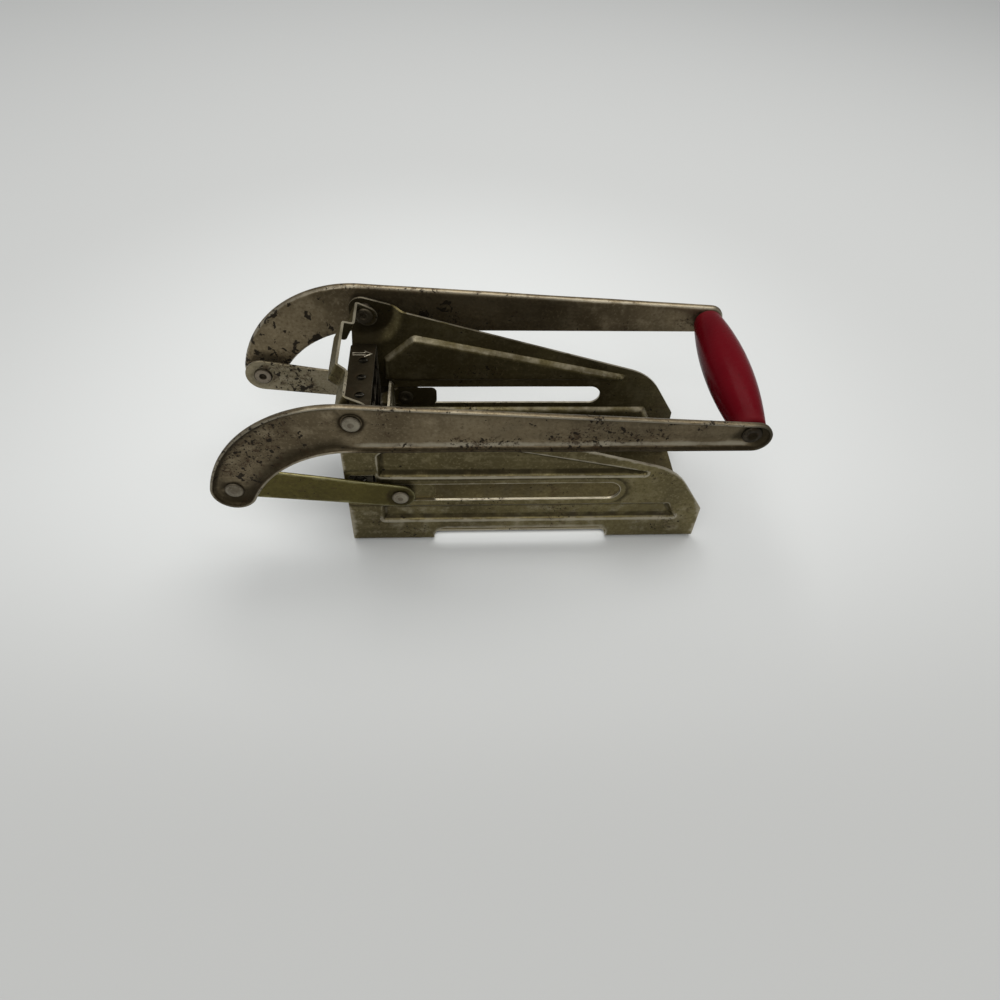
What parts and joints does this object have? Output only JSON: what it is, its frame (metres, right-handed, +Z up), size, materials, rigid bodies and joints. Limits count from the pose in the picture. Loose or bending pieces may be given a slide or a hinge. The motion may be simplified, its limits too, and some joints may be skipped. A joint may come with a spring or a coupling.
{
  "type": "french fry cutter",
  "caption": "Hand-lever french fry cutter: a toggle lever with a turned grip drives a padded push plate along a slotted body towards a removable blade grid.",
  "frame": {"origin": "on the ground, under the middle of the whole length, on the plane of symmetry", "axes": "+X from the cutting grid towards the handle, +Y towards the far side plate, +Z up"},
  "size_m": [0.2515, 0.0922, 0.098],
  "materials": {
    "plated_body": "dull plated steel, worn and speckled",
    "plated_arm": "dull plated steel, brown patina, pitted",
    "plated_link": "dull plated steel with an olive patina",
    "rivet_steel": "worn satin",
    "dark_rod": "darkened, lightly rusted",
    "cutter_steel": "satin plated",
    "red_grip": "deep gloss red, slightly worn"
  },
  "bodies": {
    "base": {"body_shell": "plated_body", "pivot_rivet_near": "rivet_steel", "pivot_rivet_far": "rivet_steel", "pivot_washer_near": "dark_rod", "pivot_washer_far": "dark_rod", "keeper_spacer_near": "dark_rod", "keeper_spacer_far": "dark_rod"},
    "lever": {"lever_arm_near": "plated_arm", "lever_arm_far": "plated_arm", "handle_rod": "dark_rod", "hook_rivet_near": "rivet_steel", "hook_rivet_far": "rivet_steel"},
    "grip": {"handle_grip": "red_grip"},
    "keeper": {"cutter_keeper": "plated_body"},
    "cutting_grid": {"cutter_frame": "cutter_steel", "vertical_blade_1": "cutter_steel", "vertical_blade_2": "cutter_steel", "vertical_blade_3": "cutter_steel", "vertical_blade_4": "cutter_steel", "horizontal_blade_1": "cutter_steel", "horizontal_blade_2": "cutter_steel", "horizontal_blade_3": "cutter_steel", "horizontal_blade_4": "cutter_steel"},
    "pusher": {"push_plate": "plated_body", "slot_bush_near": "dark_rod", "slot_bush_far": "dark_rod", "link_stud_near": "rivet_steel", "link_stud_far": "rivet_steel"},
    "near_link": {"link_near": "plated_link", "hook_rivet_tail_near": "dark_rod"},
    "far_link": {"link_far": "plated_link", "hook_rivet_tail_far": "dark_rod"}
  },
  "joints": [
    {"name": "lever_swing", "type": "hinge", "parent": "base", "child": "lever", "pos_m": [-0.05905, 0, 0.0872], "axis": [0, -1, 0], "range_deg": [0, 92]},
    {"name": "grip_spin", "type": "hinge", "parent": "lever", "child": "grip", "pos_m": [0.11485, 0, 0.0802], "axis": [0, -1, 0], "continuous": true},
    {"name": "keeper_swing", "type": "hinge", "parent": "base", "child": "keeper", "pos_m": [-0.05905, 0, 0.0872], "axis": [0, -1, 0], "range_deg": [-63, 117]},
    {"name": "cutter_lift", "type": "slide", "parent": "base", "child": "cutting_grid", "axis": [0, 0, 1], "range_m": [0, 0.0035]},
    {"name": "pusher_slide", "type": "slide", "parent": "base", "child": "pusher", "axis": [1, 0, 0], "range_m": [0, 0.0991]},
    {"name": "near_link_swing", "type": "hinge", "parent": "pusher", "child": "near_link", "pos_m": [-0.04145, -0.03655, 0.0363], "axis": [0, -1, 0], "range_deg": [0, 11.5]},
    {"name": "far_link_swing", "type": "hinge", "parent": "pusher", "child": "far_link", "pos_m": [-0.04145, 0.03655, 0.0363], "axis": [0, -1, 0], "range_deg": [0, 11.5]}
  ],
  "couplings": [
    {"joint": "pusher_slide", "follows": "lever_swing", "m_per_rad": 0.06167},
    {"joint": "near_link_swing", "follows": "lever_swing", "ratio": 0.12498},
    {"joint": "far_link_swing", "follows": "lever_swing", "ratio": 0.12498}
  ]
}
